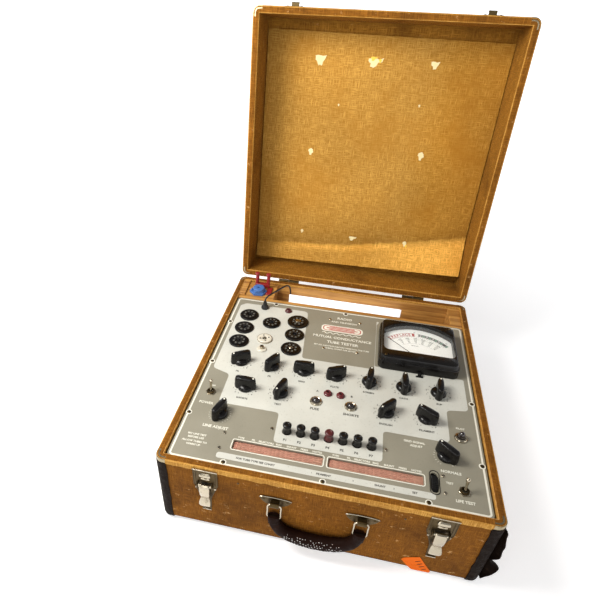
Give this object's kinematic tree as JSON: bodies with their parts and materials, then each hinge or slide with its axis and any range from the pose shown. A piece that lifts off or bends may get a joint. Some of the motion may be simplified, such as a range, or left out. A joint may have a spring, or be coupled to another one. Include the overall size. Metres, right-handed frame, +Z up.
{
  "type": "tube tester",
  "caption": "Suitcase-style radio tube tester with hinged lid, carry handle, pointer knobs, push-buttons, tube sockets and panel meter.",
  "frame": {"origin": "centre of the underside of the case", "axes": "+Z up, -Y the front with the handle and latches, +X to the right of someone facing the front"},
  "size_m": [0.43, 0.6319, 0.5907],
  "materials": {
    "case_shell": "plywood covered with golden-brown woven tweed",
    "liner_fabric": "board covered with open-weave fabric",
    "bare_wood": "varnished softwood",
    "panel_paint": "satin taupe and cream enamel, silk-screened",
    "chassis_steel": "plain steel",
    "bakelite": "glossy black moulding",
    "ceramic": "glazed white ceramic",
    "maroon_plastic": "dark red moulding",
    "nickel": "aged nickel plate",
    "dial_paper": "white printed card",
    "chart_paper": "salmon printed paper",
    "black_rubber": "black rubber and vinyl",
    "handle_leather": "dark brown leather, worn",
    "meter_glass": "clear window of the meter",
    "red_plastic": "red moulding",
    "blue_plastic": "blue moulding",
    "orange_paper": "orange paper label",
    "booklet_paper": "white printed pages"
  },
  "bodies": {
    "base": {"base_case": "case_shell", "compartment_divider": "bare_wood", "compartment_shelf": "bare_wood", "panel": "panel_paint", "switch_chassis": "chassis_steel", "power_transformer": "chassis_steel", "tube_socket_1": "bakelite", "tube_socket_2": "bakelite", "tube_socket_3": "bakelite", "tube_socket_4": "bakelite", "tube_socket_7": "bakelite", "tube_socket_8": "bakelite", "meter_case": "bakelite", "tube_socket_5": "ceramic", "tube_socket_6": "ceramic", "cap_clip": "nickel", "latch_plate_left": "nickel", "latch_plate_right": "nickel", "handle_plate_left": "nickel", "handle_plate_right": "nickel", "hinge_base_left": "nickel", "hinge_base_right": "nickel", "meter_dial": "dial_paper", "roll_chart": "chart_paper", "cap_lead_bushing": "black_rubber", "cap_lead": "black_rubber", "cap_lead_coil": "black_rubber"},
    "lid": {"lid_case": "case_shell", "lid_liner": "liner_fabric", "hinge_lid_left": "nickel", "hinge_lid_right": "nickel", "latch_strike_left": "nickel", "latch_strike_right": "nickel"},
    "handle": {"handle": "handle_leather"},
    "latch_lever_left": {"latch_lever_left": "nickel"},
    "latch_lever_right": {"latch_lever_right": "nickel"},
    "meter_needle": {"meter_needle": "bakelite"},
    "chart_thumbwheel": {"chart_thumbwheel": "bakelite"},
    "power_toggle": {"power_toggle": "nickel"},
    "life_test_toggle": {"life_test_toggle": "nickel"},
    "selector_knob_1": {"selector_knob_1": "bakelite"},
    "selector_knob_2": {"selector_knob_2": "bakelite"},
    "selector_knob_3": {"selector_knob_3": "bakelite"},
    "selector_knob_4": {"selector_knob_4": "bakelite"},
    "selector_knob_5": {"selector_knob_5": "bakelite"},
    "selector_knob_6": {"selector_knob_6": "bakelite"},
    "selector_knob_7": {"selector_knob_7": "bakelite"},
    "selector_knob_8": {"selector_knob_8": "bakelite"},
    "selector_knob_9": {"selector_knob_9": "bakelite"},
    "shunt_knob": {"shunt_knob": "bakelite"},
    "filament_knob": {"filament_knob": "bakelite"},
    "bias_knob": {"bias_knob": "bakelite"},
    "line_adjust_knob": {"line_adjust_knob": "bakelite"},
    "push_button_1": {"push_button_1": "bakelite"},
    "push_button_2": {"push_button_2": "bakelite"},
    "push_button_3": {"push_button_3": "bakelite"},
    "push_button_4": {"push_button_4": "maroon_plastic"},
    "push_button_5": {"push_button_5": "bakelite"},
    "push_button_6": {"push_button_6": "bakelite"},
    "push_button_7": {"push_button_7": "bakelite"}
  },
  "joints": [
    {"name": "lid_hinge", "type": "hinge", "parent": "base", "child": "lid", "pos_m": [0, 0.2317, 0.131], "axis": [1, 0, 0], "range_deg": [0, 99.4]},
    {"name": "handle_swing", "type": "hinge", "parent": "base", "child": "handle", "pos_m": [0, -0.2355, 0.091], "axis": [-1, 0, 0], "range_deg": [0, 150]},
    {"name": "latch_left_swing", "type": "hinge", "parent": "base", "child": "latch_lever_left", "pos_m": [-0.1475, -0.2331, 0.098], "axis": [-1, 0, 0], "range_deg": [0, 100]},
    {"name": "latch_right_swing", "type": "hinge", "parent": "base", "child": "latch_lever_right", "pos_m": [0.1475, -0.2331, 0.098], "axis": [-1, 0, 0], "range_deg": [0, 100]},
    {"name": "power_toggle_flip", "type": "hinge", "parent": "base", "child": "power_toggle", "pos_m": [-0.1802, -0.0959, 0.1314], "axis": [1, 0, 0], "range_deg": [0, 26]},
    {"name": "life_test_toggle_flip", "type": "hinge", "parent": "base", "child": "life_test_toggle", "pos_m": [0.1716, -0.1879, 0.1314], "axis": [1, 0, 0], "range_deg": [0, 26]},
    {"name": "meter_needle_swing", "type": "hinge", "parent": "base", "child": "meter_needle", "pos_m": [0.122, 0.0395, 0.141], "axis": [0, 0, -1], "range_deg": [0, 96], "stiffness_Nm_per_rad": 0.00002},
    {"name": "chart_thumbwheel_spin", "type": "hinge", "parent": "base", "child": "chart_thumbwheel", "pos_m": [0.1365, -0.182, 0.1154], "axis": [1, 0, 0], "continuous": true},
    {"name": "selector_knob_1_turn", "type": "hinge", "parent": "base", "child": "selector_knob_1", "pos_m": [-0.1535, -0.02, 0.1279], "axis": [0, 0, -1], "range_deg": [-46, 284]},
    {"name": "selector_knob_2_turn", "type": "hinge", "parent": "base", "child": "selector_knob_2", "pos_m": [-0.1027, -0.02, 0.1279], "axis": [0, 0, -1], "range_deg": [-196, 134]},
    {"name": "selector_knob_3_turn", "type": "hinge", "parent": "base", "child": "selector_knob_3", "pos_m": [-0.0525, -0.02, 0.1279], "axis": [0, 0, -1], "range_deg": [-249, 81]},
    {"name": "selector_knob_4_turn", "type": "hinge", "parent": "base", "child": "selector_knob_4", "pos_m": [-0.002, -0.02, 0.1279], "axis": [0, 0, -1], "range_deg": [-229, 101]},
    {"name": "selector_knob_5_turn", "type": "hinge", "parent": "base", "child": "selector_knob_5", "pos_m": [0.049, -0.02, 0.1279], "axis": [0, 0, -1], "range_deg": [-169, 161]},
    {"name": "selector_knob_6_turn", "type": "hinge", "parent": "base", "child": "selector_knob_6", "pos_m": [0.1005, -0.02, 0.1279], "axis": [0, 0, -1], "range_deg": [-163, 167]},
    {"name": "selector_knob_7_turn", "type": "hinge", "parent": "base", "child": "selector_knob_7", "pos_m": [0.1515, -0.02, 0.1279], "axis": [0, 0, -1], "range_deg": [-168, 162]},
    {"name": "selector_knob_8_turn", "type": "hinge", "parent": "base", "child": "selector_knob_8", "pos_m": [-0.1327, -0.075, 0.1279], "axis": [0, 0, -1], "range_deg": [-255, 75]},
    {"name": "selector_knob_9_turn", "type": "hinge", "parent": "base", "child": "selector_knob_9", "pos_m": [-0.0792, -0.075, 0.1279], "axis": [0, 0, -1], "range_deg": [-5, 325]},
    {"name": "shunt_knob_turn", "type": "hinge", "parent": "base", "child": "shunt_knob", "pos_m": [0.0754, -0.0775, 0.1279], "axis": [0, 0, -1], "range_deg": [-27, 303]},
    {"name": "filament_knob_turn", "type": "hinge", "parent": "base", "child": "filament_knob", "pos_m": [0.1312, -0.0767, 0.1279], "axis": [0, 0, -1], "range_deg": [-106, 224]},
    {"name": "bias_knob_turn", "type": "hinge", "parent": "base", "child": "bias_knob", "pos_m": [0.1535, -0.138, 0.1279], "axis": [0, 0, -1], "range_deg": [-100, 200]},
    {"name": "line_adjust_knob_turn", "type": "hinge", "parent": "base", "child": "line_adjust_knob", "pos_m": [-0.155, -0.135, 0.1279], "axis": [0, 0, -1], "range_deg": [-169, 131]},
    {"name": "push_button_1_press", "type": "slide", "parent": "base", "child": "push_button_1", "axis": [0, 0, -1], "range_m": [0, 0.005], "stiffness_N_per_m": 400},
    {"name": "push_button_2_press", "type": "slide", "parent": "base", "child": "push_button_2", "axis": [0, 0, -1], "range_m": [0, 0.005], "stiffness_N_per_m": 400},
    {"name": "push_button_3_press", "type": "slide", "parent": "base", "child": "push_button_3", "axis": [0, 0, -1], "range_m": [0, 0.005], "stiffness_N_per_m": 400},
    {"name": "push_button_4_press", "type": "slide", "parent": "base", "child": "push_button_4", "axis": [0, 0, -1], "range_m": [0, 0.005], "stiffness_N_per_m": 400},
    {"name": "push_button_5_press", "type": "slide", "parent": "base", "child": "push_button_5", "axis": [0, 0, -1], "range_m": [0, 0.005], "stiffness_N_per_m": 400},
    {"name": "push_button_6_press", "type": "slide", "parent": "base", "child": "push_button_6", "axis": [0, 0, -1], "range_m": [0, 0.005], "stiffness_N_per_m": 400},
    {"name": "push_button_7_press", "type": "slide", "parent": "base", "child": "push_button_7", "axis": [0, 0, -1], "range_m": [0, 0.005], "stiffness_N_per_m": 400}
  ]
}
